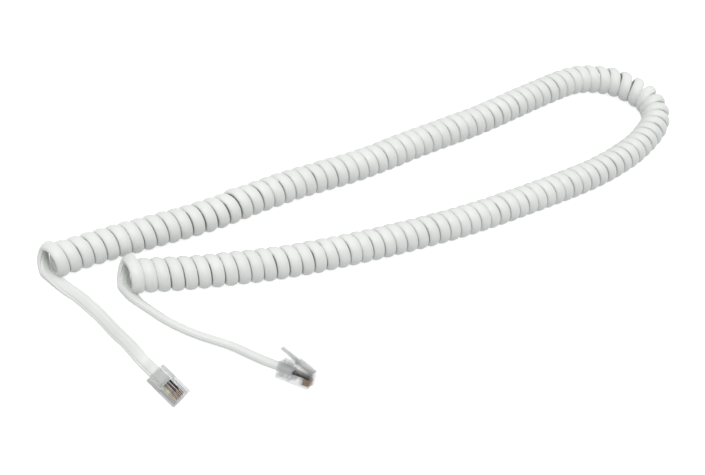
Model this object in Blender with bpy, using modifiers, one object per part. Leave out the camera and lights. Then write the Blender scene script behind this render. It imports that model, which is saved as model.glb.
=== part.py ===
"""A coiled telephone handset cord with a clear 4-way modular plug on each end.

The cord lies on a table in a long U. Units are metres, and +Z is up.
X runs along the U's arms, towards the bend, and the two tails lead to the plugs at -X, -Y.
"""

import math

import bmesh
import bpy
from mathutils import Euler, Matrix, Vector

MM = 0.001

# Driving dimensions.
COIL_OD = 12.2 * MM
RIBBON_WIDTH = 4.4 * MM
RIBBON_THICKNESS = 2.4 * MM
PLUG_LENGTH = 12.4 * MM
PLUG_WIDTH = 7.65 * MM
PLUG_HEIGHT = 6.2 * MM
NOSE_HEIGHT = 4.6 * MM
POLE_PITCH = 1.02 * MM
POLES = 4
CONDUCTOR_DIAMETER = 0.82 * MM
BLADE_THICKNESS = 0.3 * MM
BLADE_CROWN = 0.08 * MM

# The whole object is moved by this, so that the origin is under the middle of its box.
SHIFT = Vector((-3.0 * MM, 4.75 * MM, 0))

# The coil's axis on the table, from the end of tail A round the bend to the end of tail B, in mm.
COIL_ROUTE = [
    (-138.8, 24.4),
    (-118.0, 25.2),
    (-98.7, 25.1),
    (-74.5, 25.1),
    (-54.0, 27.0),
    (-33.9, 28.2),
    (-6.3, 28.6),
    (24.8, 31.6),
    (57.5, 34.4),
    (94.0, 39.5),
    (115.1, 41.2),
    (128.8, 36.6),
    (136.4, 28.6),
    (139.5, 18.2),
    (134.0, 8.0),
    (121.0, 0.6),
    (105.2, -4.7),
    (82.3, -8.8),
    (49.1, -10.7),
    (18.7, -11.4),
    (-8.9, -10.2),
    (-34.6, -8.0),
    (-58.6, -5.0),
    (-80.7, -0.4),
    (-98.1, 4.0),
    (-108.6, 7.2),
    (-118.0, 9.6),
]
# Each tail's middle line, from the coil to inside its plug, in mm.
TAIL_A_ROUTE = [
    (-136.3, 18.9, 1.4),
    (-135.1, 15.1, 1.7),
    (-133.1, 10.1, 2.1),
    (-131.9, 5.6, 2.5),
    (-130.6, -1.1, 3.3),
    (-129.9, -10.1, 5.0),
    (-129.4, -18.0, 7.2),
]
TAIL_B_ROUTE = [
    (-115.6, 3.2, 1.6),
    (-114.6, -0.6, 1.8),
    (-112.8, -5.1, 1.8),
    (-110.5, -9.6, 1.8),
    (-107.4, -14.5, 1.8),
    (-102.9, -20.3, 1.9),
    (-95.6, -28.0, 2.1),
    (-91.9, -33.5, 2.6),
]
# How far each tail is rolled from lying flat where it leaves the coil, in degrees.
TAIL_A_ROLL = -10
TAIL_B_ROLL = -8

# How far apart the rings of each tube are.
COIL_SPACING = 6.7 * MM
TAIL_SPACING = 2.2 * MM

# Where each plug lies: the middle of its rear end on the contact side, and its roll, pitch and turn.
# The turns are in degrees.
PLUG_A_PLACE = (-128.3, -33.6, 10.2)
PLUG_A_TURN = (-147, 19, -65)
PLUG_B_PLACE = (-86.6, -45.1, 1.9)
PLUG_B_TURN = (-27, -10, -58)

# Inside a plug. Each range is along the plug from its rear end, or up from its contact side.
CABLE_BORE = dict(x=(-1, 5.2), width=5.0, z=(1.5, 4.5))
CABLE_AXIS_HEIGHT = 3.0 * MM
JACKET_END = 4.9 * MM
# How far behind the plug's rear end the jacket is already straight.
JACKET_LEADS = (-6 * MM, -1.5 * MM)
CONDUCTOR_BORE = dict(x=(5.0, 11.5), width=4.3, z=(2.45, 3.55))
CONDUCTOR_SPAN = (5.1, 11.3)
WIRE_WINDOW = dict(x=(4.9, 8.1), width=4.6, z=(-1, 2.6))
CLAMP_POCKET = dict(x=(1.4, 3.6), width=4.6, z=(-1, 1.6))
SLOT = dict(x=(9.0, 11.8), width=0.5, z=(-1, 2.6))
BLADE = dict(x=(9.2, 11.6), z=(0.25, 2.45))
WIRE_CLAMP = dict(x=(5.2, 6.8), width=4.3, z=(0.9, 2.35))
JACKET_CLAMP = dict(x=(1.55, 3.45), width=4.3, z=(0.35, 1.5))

# The housing is at its full height from its rear end to here, and then slopes down to the nose.
SHOULDER = 4.6 * MM
SHOULDER_RUN = 1.2 * MM
HOUSING_BEVEL = 0.25 * MM

# The latch, seen from the side: its hinge at the nose, its knee where it narrows, and its free end.
LATCH_ROOT = Vector((11.9, 0, 5.4)) * MM
LATCH_KNEE = Vector((5.4, 0, 7.7)) * MM
LATCH_TIP = Vector((-1.2, 0, 10.1)) * MM
LATCH_ROOT_DEPTH = Vector((0, 0, 0.65)) * MM
LATCH_BASE_WIDTH = 6.0 * MM
LATCH_TAB_WIDTH = 3.25 * MM
LATCH_THICKNESS = 0.9 * MM

MATERIALS = {
    "white_pvc": ((0.84, 0.85, 0.85, 1), 0.35, 0.0),
    "clear_plastic": ((0.88, 0.90, 0.90, 1), 0.08, 0.0),
    "gold_contact": ((0.83, 0.62, 0.28, 1), 0.25, 1.0),
    "black_insulation": ((0.02, 0.02, 0.02, 1), 0.4, 0.0),
    "red_insulation": ((0.40, 0.03, 0.03, 1), 0.4, 0.0),
    "green_insulation": ((0.10, 0.35, 0.12, 1), 0.4, 0.0),
    "yellow_insulation": ((0.80, 0.68, 0.20, 1), 0.4, 0.0),
}
INSULATION_ORDER = ("black", "red", "green", "yellow")


def clear_scene():
    for obj in list(bpy.data.objects):
        bpy.data.objects.remove(obj)


def make_collection(name, hidden=False):
    collection = bpy.data.collections.new(name)
    bpy.context.scene.collection.children.link(collection)
    collection.hide_render = hidden
    return collection


def make_material(name):
    color, roughness, metallic = MATERIALS[name]
    material = bpy.data.materials.new(name)
    material.use_nodes = True
    shader = material.node_tree.nodes["Principled BSDF"]
    shader.inputs["Base Color"].default_value = color
    shader.inputs["Roughness"].default_value = roughness
    shader.inputs["Metallic"].default_value = metallic
    material.diffuse_color = color
    return material


def smooth_route(points, spacing, height=None):
    """A Catmull-Rom curve through the points, read about every `spacing` metres."""
    knots = [Vector((p[0], p[1], p[2] if len(p) > 2 else 0)) * MM + SHIFT for p in points]
    if height is not None:
        knots = [Vector((k.x, k.y, height)) for k in knots]
    ends = [2 * knots[0] - knots[1], *knots, 2 * knots[-1] - knots[-2]]
    fine = []
    for a, b, c, d in zip(ends, ends[1:], ends[2:], ends[3:]):
        for step in range(24):
            t = step / 24
            bend = (2 * a - 5 * b + 4 * c - d) * t**2 + (3 * b - a - 3 * c + d) * t**3
            fine.append((2 * b + (c - a) * t + bend) / 2)
    fine.append(knots[-1])
    total = sum((q - p).length for p, q in zip(fine, fine[1:]))
    count = max(4, round(total / spacing))
    route, walked, target = [fine[0]], 0.0, total / count
    for p, q in zip(fine, fine[1:]):
        length = (q - p).length
        while walked + length >= target * len(route) and len(route) < count:
            route.append(p.lerp(q, (target * len(route) - walked) / length))
        walked += length
    return [*route, fine[-1]]


def add_tube(name, collection, points, radius, flat_half=0.0, turns=None, resolution=2):
    """A tube along the points. flat_half widens it to a ribbon, whose tilt at each point is in `turns`."""
    data = bpy.data.curves.new(name, "CURVE")
    data.dimensions = "3D"
    data.twist_mode = "Z_UP"
    data.bevel_depth = radius
    data.bevel_resolution = resolution
    data.extrude = flat_half
    data.use_fill_caps = True
    spline = data.splines.new("POLY")
    spline.points.add(len(points) - 1)
    for index, (point, place) in enumerate(zip(spline.points, points)):
        point.co = (*place, 1)
        point.tilt = turns[index] if turns else 0.0
    obj = bpy.data.objects.new(name, data)
    collection.objects.link(obj)
    return obj


def weld_to_mesh(obj, collection):
    """Turns a curve into a mesh with its caps welded on."""
    graph = bpy.context.evaluated_depsgraph_get()
    mesh = bpy.data.meshes.new_from_object(obj.evaluated_get(graph))
    name, place = obj.name, obj.matrix_world.copy()
    bpy.data.objects.remove(obj)
    work = bmesh.new()
    work.from_mesh(mesh)
    bmesh.ops.remove_doubles(work, verts=work.verts, dist=0.01 * MM)
    bmesh.ops.recalc_face_normals(work, faces=work.faces)
    work.to_mesh(mesh)
    work.free()
    mesh.shade_smooth()
    mesh.set_sharp_from_angle(angle=math.radians(40))
    welded = bpy.data.objects.new(name, mesh)
    welded.matrix_world = place
    collection.objects.link(welded)
    return welded


def box_mesh(name, x, width, z, y=0.0):
    """A box whose sides are given in mm: x and z are ranges, and its width is centred on y."""
    mesh = bpy.data.meshes.new(name)
    work = bmesh.new()
    bmesh.ops.create_cube(work, size=1)
    size = Vector((x[1] - x[0], width, z[1] - z[0])) * MM
    middle = Vector(((x[0] + x[1]) / 2, y, (z[0] + z[1]) / 2)) * MM
    bmesh.ops.scale(work, vec=size, verts=work.verts)
    bmesh.ops.translate(work, vec=middle, verts=work.verts)
    work.to_mesh(mesh)
    work.free()
    return mesh


def outline_mesh(name, outline, width):
    """A plate `width` wide whose side view is the outline of (x, z) points, in metres."""
    mesh = bpy.data.meshes.new(name)
    work = bmesh.new()
    side = [work.verts.new((x, -width / 2, z)) for x, z in outline]
    face = work.faces.new(side)
    grown = bmesh.ops.extrude_face_region(work, geom=[face])
    moved = [v for v in grown["geom"] if isinstance(v, bmesh.types.BMVert)]
    bmesh.ops.translate(work, vec=(0, width, 0), verts=moved)
    bmesh.ops.recalc_face_normals(work, faces=work.faces)
    work.to_mesh(mesh)
    work.free()
    return mesh


class Plug:
    """One modular plug. Its pieces hang on an empty at the middle of its rear end, on its contact side."""

    def __init__(self, letter, place, turn, parts, cutters, materials):
        self.letter = letter
        self.parts = parts
        self.cutters = cutters
        self.materials = materials
        self.base = bpy.data.objects.new(f"plug_{letter}_frame", None)
        parts.objects.link(self.base)
        self.base.location = Vector(place) * MM + SHIFT
        self.base.rotation_euler = Euler([math.radians(a) for a in turn], "XYZ")
        bpy.context.view_layer.update()

    def local_to_world(self, point):
        return self.base.matrix_world @ Vector(point)

    def add(self, name, mesh, material, origin=Vector()):
        mesh.transform(Matrix.Translation(-origin))
        obj = bpy.data.objects.new(f"{name}_{self.letter}", mesh)
        obj.parent = self.base
        obj.location = origin
        obj.data.materials.append(self.materials[material])
        self.parts.objects.link(obj)
        return obj

    def cut(self, obj, label, **sides):
        cutter = bpy.data.objects.new(f"cut_{label}_{self.letter}", box_mesh("cutter", **sides))
        cutter.parent = self.base
        cutter.hide_render = True
        cutter.display_type = "WIRE"
        self.cutters.objects.link(cutter)
        modifier = obj.modifiers.new(label, "BOOLEAN")
        modifier.object = cutter
        modifier.operation = "DIFFERENCE"

    def pole_places(self):
        """Each pole's sideways place in mm, from the black conductor to the yellow one."""
        pitch = POLE_PITCH / MM
        return [pitch * (pole - (POLES - 1) / 2) for pole in range(POLES)]

    def housing(self):
        outline = [
            (0, 0),
            (PLUG_LENGTH, 0),
            (PLUG_LENGTH, NOSE_HEIGHT),
            (SHOULDER + SHOULDER_RUN, NOSE_HEIGHT),
            (SHOULDER, PLUG_HEIGHT),
            (0, PLUG_HEIGHT),
        ]
        obj = self.add("housing", outline_mesh("housing", outline, PLUG_WIDTH), "clear_plastic")
        edge = obj.modifiers.new("edges", "BEVEL")
        edge.width = HOUSING_BEVEL
        edge.segments = 2
        edge.limit_method = "ANGLE"
        self.cut(obj, "cable_bore", **CABLE_BORE)
        self.cut(obj, "conductor_bore", **CONDUCTOR_BORE)
        self.cut(obj, "wire_window", **WIRE_WINDOW)
        self.cut(obj, "clamp_pocket", **CLAMP_POCKET)
        for number, y in enumerate(self.pole_places(), 1):
            self.cut(obj, f"slot_{number}", y=y, **SLOT)

    def latch(self):
        """The sprung latch. It turns about its root at the nose."""
        down = Vector((0, 0, LATCH_THICKNESS))
        upper = [LATCH_ROOT, LATCH_KNEE, LATCH_TIP]
        lower = [LATCH_TIP - down, LATCH_KNEE - down, LATCH_ROOT - LATCH_ROOT_DEPTH]
        outline = [(p.x, p.z) for p in upper + lower]
        mesh = outline_mesh("latch", outline, LATCH_BASE_WIDTH)
        obj = self.add("latch", mesh, "clear_plastic", origin=LATCH_ROOT)
        base, tab = LATCH_BASE_WIDTH / MM, LATCH_TAB_WIDTH / MM
        reach = (LATCH_TIP.x / MM - 1, LATCH_KNEE.x / MM)
        height = (LATCH_ROOT.z / MM, LATCH_TIP.z / MM + 1)
        for sign, label in ((-1, "right"), (1, "left")):
            middle = sign * (tab + base) / 2
            self.cut(obj, f"latch_{label}", x=reach, width=base, z=height, y=middle)

    def contacts(self):
        for number, y in enumerate(self.pole_places(), 1):
            blade = box_mesh("contact", width=BLADE_THICKNESS / MM, y=y, **BLADE)
            obj = self.add(f"contact_{number}", blade, "gold_contact")
            crown = obj.modifiers.new("crown", "BEVEL")
            crown.width = BLADE_CROWN
            crown.segments = 1

    def conductors(self):
        height = (CONDUCTOR_BORE["z"][0] + CONDUCTOR_BORE["z"][1]) / 2 * MM
        start, end = (x * MM for x in CONDUCTOR_SPAN)
        turn = Matrix.Rotation(math.pi / 2, 4, "Y")
        for colour, y in zip(INSULATION_ORDER, self.pole_places()):
            mesh = bpy.data.meshes.new("conductor")
            work = bmesh.new()
            radius = CONDUCTOR_DIAMETER / 2
            bmesh.ops.create_cone(
                work,
                cap_ends=True,
                segments=16,
                radius1=radius,
                radius2=radius,
                depth=end - start,
                matrix=turn,
            )
            bmesh.ops.translate(work, vec=((start + end) / 2, y * MM, height), verts=work.verts)
            work.to_mesh(mesh)
            work.free()
            mesh.shade_smooth()
            mesh.set_sharp_from_angle(angle=math.radians(40))
            self.add(f"conductor_{colour}", mesh, f"{colour}_insulation")

    def clamps(self):
        self.add("jacket_clamp", box_mesh("jacket_clamp", **JACKET_CLAMP), "clear_plastic")
        self.add("wire_clamp", box_mesh("wire_clamp", **WIRE_CLAMP), "clear_plastic")

    def build(self):
        self.housing()
        self.latch()
        self.contacts()
        self.conductors()
        self.clamps()


def roll_about(tangent, across):
    """How far a ribbon whose width lies along `across` is rolled from lying flat, in radians."""
    level = Vector((0, 0, 1)).cross(tangent).normalized()
    raised = tangent.normalized().cross(level)
    roll = math.atan2(across.dot(raised), across.dot(level))
    return (roll + math.pi / 2) % math.pi - math.pi / 2


def add_tail(name, collection, route, plug, start_roll, material):
    """A flat jacket from the coil to inside its plug, rolled from start_roll degrees to the plug's roll."""
    stations = (*JACKET_LEADS, JACKET_END)
    inside = [plug.local_to_world((x, 0, CABLE_AXIS_HEIGHT)) - SHIFT for x in stations]
    places = smooth_route([*route, *(tuple(p / MM) for p in inside)], TAIL_SPACING)
    across = plug.base.matrix_world.to_3x3() @ Vector((0, 1, 0))
    end_roll = roll_about(inside[2] - inside[1], across)
    turns = []
    for index in range(len(places)):
        share = min(1, index / (len(places) - 6))
        eased = share * share * (3 - 2 * share)
        roll = math.radians(start_roll) * (1 - eased) + end_roll * eased
        turns.append(math.pi / 2 + roll)
    flat_half = (RIBBON_WIDTH - RIBBON_THICKNESS) / 2
    tube = add_tube(name, collection, places, RIBBON_THICKNESS / 2, flat_half, turns)
    tube.data.materials.append(material)
    return weld_to_mesh(tube, collection)


def main():
    clear_scene()
    parts = make_collection("handset_cord")
    cutters = make_collection("cutters", hidden=True)
    materials = {name: make_material(name) for name in MATERIALS}

    axis = smooth_route(COIL_ROUTE, COIL_SPACING, height=COIL_OD / 2)
    coil = add_tube("coil_cord", parts, axis, COIL_OD / 2, resolution=4)
    coil.data.materials.append(materials["white_pvc"])
    weld_to_mesh(coil, parts)

    plug_a = Plug("a", PLUG_A_PLACE, PLUG_A_TURN, parts, cutters, materials)
    plug_b = Plug("b", PLUG_B_PLACE, PLUG_B_TURN, parts, cutters, materials)
    for plug in (plug_a, plug_b):
        plug.build()
    add_tail("tail_a", parts, TAIL_A_ROUTE, plug_a, TAIL_A_ROLL, materials["white_pvc"])
    add_tail("tail_b", parts, TAIL_B_ROUTE, plug_b, TAIL_B_ROLL, materials["white_pvc"])


main()
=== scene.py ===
"""The looks of a coiled telephone handset cord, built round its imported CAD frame, in metres."""

import math

import bpy
from mathutils import Euler, Matrix, Quaternion, Vector


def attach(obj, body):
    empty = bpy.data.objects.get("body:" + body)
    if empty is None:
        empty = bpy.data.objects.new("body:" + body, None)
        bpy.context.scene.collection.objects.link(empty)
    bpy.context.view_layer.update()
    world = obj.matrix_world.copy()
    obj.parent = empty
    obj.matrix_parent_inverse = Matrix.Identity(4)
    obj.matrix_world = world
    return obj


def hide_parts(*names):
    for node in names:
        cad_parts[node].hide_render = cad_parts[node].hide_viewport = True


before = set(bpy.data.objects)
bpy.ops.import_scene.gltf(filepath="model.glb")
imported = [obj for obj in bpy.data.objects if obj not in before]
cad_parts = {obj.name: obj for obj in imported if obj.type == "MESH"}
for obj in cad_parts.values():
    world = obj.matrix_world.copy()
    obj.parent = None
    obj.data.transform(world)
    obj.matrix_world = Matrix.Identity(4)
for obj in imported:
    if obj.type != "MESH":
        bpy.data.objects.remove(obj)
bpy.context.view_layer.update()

MM = 0.001

# The coil's axis on the table, from the end of tail A round the bend to the end of tail B, in mm.
COIL_OD = 12.2 * MM
COIL_ROUTE = [
    (-137.9, 24.4),
    (-118.0, 25.2),
    (-98.7, 25.1),
    (-74.5, 25.1),
    (-54.0, 27.0),
    (-33.9, 28.2),
    (-6.3, 28.6),
    (24.8, 31.6),
    (57.5, 34.4),
    (94.0, 39.5),
    (115.1, 41.2),
    (128.8, 36.6),
    (136.4, 28.6),
    (139.5, 18.2),
    (134.0, 8.0),
    (121.0, 0.6),
    (105.2, -4.7),
    (82.3, -8.8),
    (49.1, -10.7),
    (18.7, -11.4),
    (-8.9, -10.2),
    (-34.6, -8.0),
    (-58.6, -5.0),
    (-80.7, -0.4),
    (-98.1, 4.0),
    (-108.6, 7.2),
    (-116.2, 9.2),
]
SHIFT = Vector((-3.0 * MM, 4.75 * MM, 0))

# Each tail's middle line from the coil to its plug, in mm, and its roll from flat, in degrees.
TAIL_A_ROUTE = [
    (-136.6, 19.9, 1.5, 14),
    (-135.1, 15.1, 1.9, 30),
    (-133.1, 10.1, 2.3, 38),
    (-131.9, 5.6, 2.6, 41),
    (-130.6, -1.1, 3.4, 42),
    (-129.9, -10.1, 5.0, 42),
    (-129.4, -18.0, 7.2, 40),
]
TAIL_B_ROUTE = [
    (-115.9, 4.6, 1.5, 14),
    (-115.4, 1.9, 1.6, 26),
    (-114.3, -1.2, 1.8, 34),
    (-112.6, -5.1, 1.9, 37),
    (-110.5, -9.6, 1.9, 37),
    (-107.4, -14.5, 1.9, 36),
    (-102.9, -20.3, 2.0, 35),
    (-95.6, -28.0, 2.2, 32),
    (-91.9, -33.5, 2.6, 29),
]
# Where each plug sits, in mm, and how it is turned, in degrees.
PLUG_PLACES = {"a": (-128.3, -33.6, 10.2), "b": (-86.6, -45.1, 1.9)}
PLUG_TURNS = {"a": (-147, 19, -65), "b": (-27, -10, -58)}
# In a plug, in mm: the cord's height over the plug's base, and points along the cord's end.
CABLE_AXIS_HEIGHT = 3.0
JACKET_STATIONS = (-6, -1.5, 4.9)

# The ribbon and its winding. PITCHES gives the distance along the axis and the pitch there, in mm.
RIBBON_WIDTH = 4.5 * MM
RIBBON_THICKNESS = 2.6 * MM
PITCHES = [
    (0, 4.75),
    (50, 4.85),
    (75, 5.1),
    (115, 4.75),
    (180, 4.75),
    (215, 5.0),
    (245, 5.1),
    (262, 5.0),
    (278, 5.7),
    (292, 5.3),
    (310, 5.2),
    (345, 5.1),
    (375, 4.8),
    (530, 4.75),
    (550, 4.6),
]
SAMPLES_PER_TURN = 28
AXIS_SPACING = 0.5 * MM
TANGENT_REACH = 6
PITCH_WOBBLE = 0.02
SLACK = 0.01
ASKEW = 0.16 * MM
# How far the first half turn next to each tail stands open, which way, and how much it leans.
OPEN_TURNS = 0.5
OPEN_BY = {"a": 1.4 * MM, "b": 2.2 * MM}
OPEN_DIRECTION = Vector((0.4, 1, 0.1))
FLARE = {"a": 0.55, "b": 0.9}
# The cross-section is a superellipse, rounder where the ribbon is wound.
SECTION_POINTS = 40
CROWNED_POWER = 2.05
FLAT_POWER = 3.2
CROWNING_TURNS = 0.6
CROWNING_STEPS = 10
WOUND_SEAM_SHARE = 0.3
SEAM_PLACE = 1.5 * MM
SEAM_WIDTH = 0.22 * MM
SEAM_DEPTH = 0.3 * MM
# One turn of the back arm stands proud of its neighbours.
PROUD_TURN = 15.4
PROUD_TURNS_WIDE = 0.45
PROUD_SHARE = 0.06

# Steps between the knots of a smooth curve, and how many of them a tail takes at a time.
CURVE_STEPS = 24
TAIL_STRIDE = 4

# The camera.
CAMERA_PLACE = Vector((-317.5, -274.95, 386.9)) * MM
CAMERA_AIM = Vector((-28.9, 5.8, 0)) * MM
CAMERA_ROLL = math.radians(18.12)
CAMERA_LENS = 77.17
CAMERA_SENSOR = 36

FLOOR_HALF = 6.0


def add_camera():
    data = bpy.data.cameras.new("camera")
    data.lens = CAMERA_LENS
    data.sensor_width = CAMERA_SENSOR
    camera = bpy.data.objects.new("camera", data)
    bpy.context.scene.collection.objects.link(camera)
    camera.location = CAMERA_PLACE
    camera.rotation_mode = "QUATERNION"
    aim = (CAMERA_AIM - CAMERA_PLACE).to_track_quat("-Z", "Y")
    camera.rotation_quaternion = aim @ Quaternion((0, 0, 1), CAMERA_ROLL)
    bpy.context.scene.camera = camera


# ---- the cord's route ----


def catmull_rom(knots):
    """A smooth curve through the knots."""
    ends = [2 * knots[0] - knots[1], *knots, 2 * knots[-1] - knots[-2]]
    fine = []
    for a, b, c, d in zip(ends, ends[1:], ends[2:], ends[3:]):
        for step in range(CURVE_STEPS):
            t = step / CURVE_STEPS
            bend = (2 * a - 5 * b + 4 * c - d) * t**2 + (3 * b - a - 3 * c + d) * t**3
            fine.append((2 * b + (c - a) * t + bend) / 2)
    return [*fine, knots[-1]]


def evenly(points, spacing):
    """The line again, with a point about every `spacing`."""
    total = sum((q - p).length for p, q in zip(points, points[1:]))
    count = max(2, round(total / spacing))
    out, walked, step = [points[0]], 0.0, total / count
    for p, q in zip(points, points[1:]):
        length = (q - p).length
        while walked + length >= step * len(out) and len(out) < count:
            out.append(p.lerp(q, (step * len(out) - walked) / length))
        walked += length
    return [*out, points[-1]]


def plug_matrix(letter):
    angles = [math.radians(angle) for angle in PLUG_TURNS[letter]]
    turn = Euler(angles, "XYZ").to_matrix().to_4x4()
    return Matrix.Translation(Vector(PLUG_PLACES[letter]) * MM + SHIFT) @ turn


def wobble(x, seed):
    """A smooth, repeatable irregularity between about -1 and 1."""
    slow = math.sin(x * 0.73 + seed * 5.3)
    quick = math.sin(x * 2.9 + seed * 0.7)
    return (math.sin(x * 1.7 + seed * 2.1) + slow + quick) / 2.2


def coil_axis():
    """The coil's axis: points half a millimetre apart, and each one's direction."""
    knots = [Vector((x, y, COIL_OD / 2 / MM)) * MM + SHIFT for x, y in COIL_ROUTE]
    points = evenly(catmull_rom(knots), AXIS_SPACING)
    tangents = []
    for i in range(len(points)):
        low = max(0, i - TANGENT_REACH)
        high = min(len(points) - 1, i + TANGENT_REACH)
        tangents.append((points[high] - points[low]).normalized())
    return points, tangents


def pitch_at(distance):
    """The coil's pitch at a distance along its axis, both in mm."""
    for (d0, p0), (d1, p1) in zip(PITCHES, PITCHES[1:]):
        if distance <= d1:
            return p0 + (p1 - p0) * (distance - d0) / (d1 - d0)
    return PITCHES[-1][1]


def turns_along(points):
    """How many turns are wound by each point of the axis, scaled to a whole number at its end."""
    step = (points[1] - points[0]).length / MM
    turns = [0.0]
    for i in range(1, len(points)):
        pitch = pitch_at(i * step) * (1 + PITCH_WOBBLE * wobble(turns[-1] * 0.9, 1))
        turns.append(turns[-1] + step / pitch)
    whole = round(turns[-1])
    return [t * whole / turns[-1] for t in turns], whole


def coil_samples():
    """The wound part of the ribbon, as (place, width direction) from end a to end b."""
    points, tangents = coil_axis()
    turns, whole = turns_along(points)
    radius = (COIL_OD - RIBBON_THICKNESS) / 2
    up = Vector((0, 0, 1))
    samples = []
    at = 0
    for n in range(whole * SAMPLES_PER_TURN + 1):
        turn = n / SAMPLES_PER_TURN
        while at < len(points) - 2 and turns[at + 1] < turn:
            at += 1
        share = min(1, max(0, (turn - turns[at]) / (turns[at + 1] - turns[at])))
        middle = points[at].lerp(points[at + 1], share)
        along = tangents[at].lerp(tangents[at + 1], share).normalized()
        left = up.cross(along).normalized()
        # The winding starts under the axis. Going towards the bend it is right-handed.
        angle = 2 * math.pi * turn - math.pi / 2
        out = left * math.cos(angle) + up * math.sin(angle)
        slack = SLACK * (1 + wobble(turn * 0.6, 2))
        proud = PROUD_SHARE * math.exp(-(((turn - PROUD_TURN) / PROUD_TURNS_WIDE) ** 2))
        size = radius * (1 - slack + proud)
        place = middle + out * size - up * (radius - size)
        place += along * ASKEW * wobble(round(turn) * 1.3, 3) * math.sin(angle)
        # The turn next to each tail stands open on its far side.
        across = along.copy()
        for letter, from_end in (("a", turn), ("b", whole - turn)):
            if from_end < OPEN_TURNS:
                bump = math.sin(math.pi * from_end / OPEN_TURNS) ** 2
                place += OPEN_DIRECTION * OPEN_BY[letter] * bump
                lean = FLARE[letter] if letter == "a" else -FLARE[letter]
                across += out * lean * bump
        samples.append((place, across.normalized()))
    return samples


def tail_samples(route, letter, coil_end):
    """A tail, from the coil outwards to inside its plug, as (place, width direction)."""
    place, across = coil_end
    matrix = plug_matrix(letter)
    middle = [Vector(p[:3]) * MM + SHIFT for p in route]
    inside = [matrix @ (Vector((x, 0, CABLE_AXIS_HEIGHT)) * MM) for x in JACKET_STATIONS]
    knots = [place, *middle, *inside]
    rolls = [0, *(p[3] for p in route)]
    plug_across = matrix.to_3x3() @ Vector((0, 1, 0))
    if plug_across.dot(across) < 0:
        plug_across = -plug_across
    # The width direction at each knot, before it is carried smoothly along the tail.
    widths = []
    for i, roll in enumerate(rolls):
        ahead = (knots[i + 1] - knots[max(0, i - 1)]).normalized()
        level = ahead.cross(Vector((0, 0, 1))).normalized()
        if level.dot(across) < 0:
            level = -level
        raised = Vector((0, 0, 1)) - ahead * ahead.z
        raised.normalize()
        roll = math.radians(roll)
        widths.append(level * math.cos(roll) + raised * math.sin(roll))
    widths[0] = across
    widths += [plug_across] * len(inside)
    fine = catmull_rom(knots)
    fine_widths = catmull_rom(widths)
    picked = [*range(TAIL_STRIDE, len(fine) - 1, TAIL_STRIDE), len(fine) - 1]
    return [(fine[i], fine_widths[i].normalized()) for i in picked]


def cord_samples():
    """The whole ribbon from plug a to plug b, and how many samples each tail has."""
    coil = coil_samples()
    tail_a = tail_samples(TAIL_A_ROUTE, "a", coil[0])
    tail_b = tail_samples(TAIL_B_ROUTE, "b", coil[-1])
    return [*reversed(tail_a), *coil, *tail_b], (len(tail_a), len(tail_b))


def section(crowning):
    """The ribbon's cross-section, as (across, outwards), from flat in the tails to oval.

    A fine seam runs along each face, near each edge.
    """
    outline = []
    power = 2 / (FLAT_POWER + (CROWNED_POWER - FLAT_POWER) * crowning)
    for k in range(SECTION_POINTS):
        angle = 2 * math.pi * k / SECTION_POINTS
        c, s = math.cos(angle), math.sin(angle)
        across = math.copysign(abs(c) ** power, c) * RIBBON_WIDTH / 2
        thickness = abs(s) ** power * RIBBON_THICKNESS / 2
        from_seam = (abs(across) - SEAM_PLACE) / SEAM_WIDTH
        seam = SEAM_DEPTH * (1 - (1 - WOUND_SEAM_SHARE) * crowning)
        thickness -= seam * math.exp(-from_seam * from_seam)
        outline.append((across, math.copysign(max(0, thickness), s)))
    return outline


def build_cord(material):
    """The ribbon as one closed mesh, and the line through the middles of its rings."""
    samples, tail_counts = cord_samples()
    places = [place for place, _ in samples]
    sections = [section(step / CROWNING_STEPS) for step in range(CROWNING_STEPS + 1)]
    vertices, faces = [], []
    last_across = None
    for i, (place, across) in enumerate(samples):
        ahead = places[min(i + 1, len(places) - 1)] - places[max(i - 1, 0)]
        ahead.normalize()
        across = (across - ahead * across.dot(ahead)).normalized()
        if last_across is not None and across.dot(last_across) < 0:
            across = -across
        last_across = across
        normal = ahead.cross(across)
        into_coil = min(i - tail_counts[0], len(samples) - 1 - tail_counts[1] - i)
        from_tail = into_coil / SAMPLES_PER_TURN
        crowning = min(1, max(0, from_tail / CROWNING_TURNS))
        outline = sections[round(crowning * CROWNING_STEPS)]
        vertices += [place + across * u + normal * v for u, v in outline]
    count = SECTION_POINTS
    for i in range(len(samples) - 1):
        for k in range(count):
            a, b = i * count + k, i * count + (k + 1) % count
            faces.append((a, b, b + count, a + count))
    faces.append(tuple(reversed(range(count))))
    last = (len(samples) - 1) * count
    faces.append(tuple(range(last, last + count)))
    mesh = bpy.data.meshes.new("curly_cord")
    mesh.from_pydata(vertices, [], faces)
    mesh.validate()
    mesh.shade_smooth()
    cord = bpy.data.objects.new("curly_cord", mesh)
    bpy.context.scene.collection.objects.link(cord)
    cord.data.materials.append(material)
    return cord, places


# ---- materials ----


def new_material(name):
    material = bpy.data.materials.new(name)
    material.use_nodes = True
    tree = material.node_tree
    return material, tree, tree.nodes["Principled BSDF"]


def noise(tree, scale, detail=3.0):
    """A noise texture in the object's own coordinates."""
    coordinates = tree.nodes.new("ShaderNodeTexCoord")
    texture = tree.nodes.new("ShaderNodeTexNoise")
    texture.inputs["Scale"].default_value = scale
    texture.inputs["Detail"].default_value = detail
    tree.links.new(coordinates.outputs["Object"], texture.inputs["Vector"])
    return texture.outputs["Fac"]


def ramp_between(tree, factor, low, high, at=(0.3, 0.7)):
    """A colour between low and high, by the factor's place between the two stops."""
    ramp = tree.nodes.new("ShaderNodeValToRGB")
    ramp.color_ramp.elements[0].position = at[0]
    ramp.color_ramp.elements[1].position = at[1]
    ramp.color_ramp.elements[0].color = (*low, 1)
    ramp.color_ramp.elements[1].color = (*high, 1)
    tree.links.new(factor, ramp.inputs["Fac"])
    return ramp.outputs["Color"]


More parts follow.
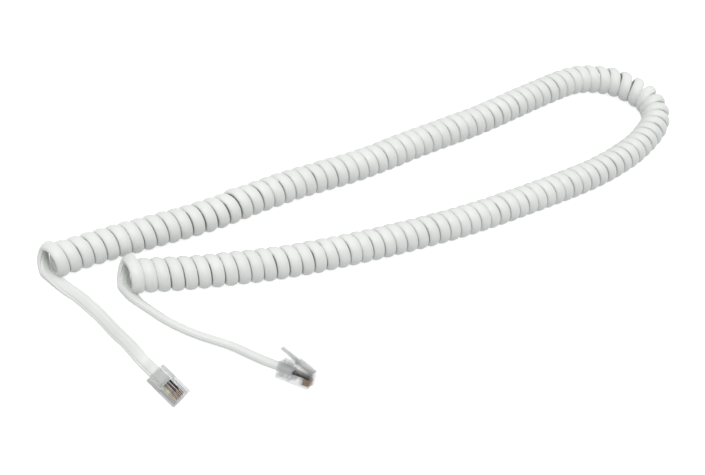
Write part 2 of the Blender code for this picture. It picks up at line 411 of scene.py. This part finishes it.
def add_bump(tree, shader, height, strength, distance):
    bump = tree.nodes.new("ShaderNodeBump")
    bump.inputs["Strength"].default_value = strength
    bump.inputs["Distance"].default_value = distance
    tree.links.new(height, bump.inputs["Height"])
    tree.links.new(bump.outputs["Normal"], shader.inputs["Normal"])


def white_vinyl():
    material, tree, shader = new_material("white_vinyl")
    shades = ((0.665, 0.68, 0.66), (0.71, 0.725, 0.70))
    color = ramp_between(tree, noise(tree, 60), *shades)
    tree.links.new(color, shader.inputs["Base Color"])
    roughs = ((0.34, 0.34, 0.34), (0.46, 0.46, 0.46))
    roughness = ramp_between(tree, noise(tree, 300), *roughs)
    tree.links.new(roughness, shader.inputs["Roughness"])
    shader.inputs["IOR"].default_value = 1.5
    add_bump(tree, shader, noise(tree, 900, 2), 0.12, 0.00008)
    return material


def clear_plastic(name, density):
    """Clear moulded plastic, greyer the thicker it is and the higher its density."""
    material, tree, shader = new_material(name)
    color = ramp_between(tree, noise(tree, 200), (0.84, 0.855, 0.855), (0.92, 0.93, 0.93))
    tree.links.new(color, shader.inputs["Base Color"])
    shader.inputs["Roughness"].default_value = 0.08
    shader.inputs["Transmission Weight"].default_value = 1.0
    shader.inputs["IOR"].default_value = 1.48
    shader.inputs["Alpha"].default_value = 0.22
    add_bump(tree, shader, noise(tree, 500, 2), 0.15, 0.00006)
    absorption = tree.nodes.new("ShaderNodeVolumeAbsorption")
    absorption.inputs["Color"].default_value = (0.30, 0.30, 0.31, 1)
    absorption.inputs["Density"].default_value = density
    tree.links.new(absorption.outputs["Volume"], tree.nodes["Material Output"].inputs["Volume"])
    return material


def gold():
    material, tree, shader = new_material("gold_plate")
    color = ramp_between(tree, noise(tree, 800), (0.36, 0.25, 0.17), (0.54, 0.40, 0.28))
    tree.links.new(color, shader.inputs["Base Color"])
    shader.inputs["Metallic"].default_value = 1.0
    shader.inputs["Roughness"].default_value = 0.28
    return material


def insulation(name, low, high):
    material, tree, shader = new_material(f"{name}_insulation")
    color = ramp_between(tree, noise(tree, 700), low, high)
    tree.links.new(color, shader.inputs["Base Color"])
    shader.inputs["Roughness"].default_value = 0.4
    return material


def white_floor():
    material, tree, shader = new_material("white_floor")
    shader.inputs["Base Color"].default_value = (0.8, 0.8, 0.8, 1)
    shader.inputs["Roughness"].default_value = 0.9
    shader.inputs["Emission Color"].default_value = (1, 1, 1, 1)
    shader.inputs["Emission Strength"].default_value = 0.6
    return material


def dress_cad_nodes(materials):
    for name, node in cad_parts.items():
        if name.startswith("latch"):
            material = materials["thin_clear"]
        elif name.startswith(("housing", "jacket_clamp", "wire_clamp")):
            material = materials["clear"]
        elif name.startswith("contact"):
            material = materials["gold"]
        elif name.startswith("conductor"):
            material = materials[name.split("_")[1]]
        else:
            material = materials["white"]
        node.data.materials.clear()
        node.data.materials.append(material)


# ---- stage ----


def add_floor():
    mesh = bpy.data.meshes.new("floor")
    far = FLOOR_HALF
    corners = [(-far, -far, 0), (far, -far, 0), (far, far, 0), (-far, far, 0)]
    mesh.from_pydata(corners, [], [(0, 1, 2, 3)])
    floor = bpy.data.objects.new("floor", mesh)
    bpy.context.scene.collection.objects.link(floor)
    floor.data.materials.append(white_floor())
    # The floor's own white doesn't light the cord from below.
    floor.visible_diffuse = False


def add_area_light(name, place, aim, size, watts):
    data = bpy.data.lights.new(name, "AREA")
    data.size = size
    data.energy = watts
    light = bpy.data.objects.new(name, data)
    light.location = place
    light.rotation_mode = "QUATERNION"
    light.rotation_quaternion = (Vector(aim) - Vector(place)).to_track_quat("-Z", "Y")
    bpy.context.scene.collection.objects.link(light)


def add_lights():
    """A soft dome, bright overhead and dim towards the horizon, with one large soft light."""
    world = bpy.data.worlds.new("studio")
    bpy.context.scene.world = world
    world.use_nodes = True
    tree = world.node_tree
    coordinates = tree.nodes.new("ShaderNodeTexCoord")
    parts = tree.nodes.new("ShaderNodeSeparateXYZ")
    tree.links.new(coordinates.outputs["Generated"], parts.inputs["Vector"])
    dome = ramp_between(tree, parts.outputs["Z"], (0.44, 0.45, 0.47), (1, 1, 1), at=(0.0, 0.6))
    tree.links.new(dome, tree.nodes["Background"].inputs["Color"])
    tree.nodes["Background"].inputs["Strength"].default_value = 1.0
    add_area_light("key", (-0.35, -0.25, 1.2), (0, 0, 0), 0.9, 6)
    bpy.context.scene.view_settings.view_transform = "Standard"


add_camera()
materials = {
    "white": white_vinyl(),
    "clear": clear_plastic("clear_polycarbonate", 200),
    "thin_clear": clear_plastic("latch_polycarbonate", 620),
    "gold": gold(),
    "black": insulation("black", (0.012, 0.012, 0.013), (0.03, 0.03, 0.032)),
    "red": insulation("red", (0.085, 0.012, 0.016), (0.14, 0.022, 0.025)),
    "green": insulation("green", (0.20, 0.24, 0.17), (0.29, 0.32, 0.24)),
    "yellow": insulation("yellow", (0.62, 0.54, 0.34), (0.74, 0.66, 0.46)),
}
dress_cad_nodes(materials)
cord, cord_path = build_cord(materials["white"])
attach(cord, "cord")
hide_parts("coil_cord", "tail_a", "tail_b")
add_floor()
add_lights()
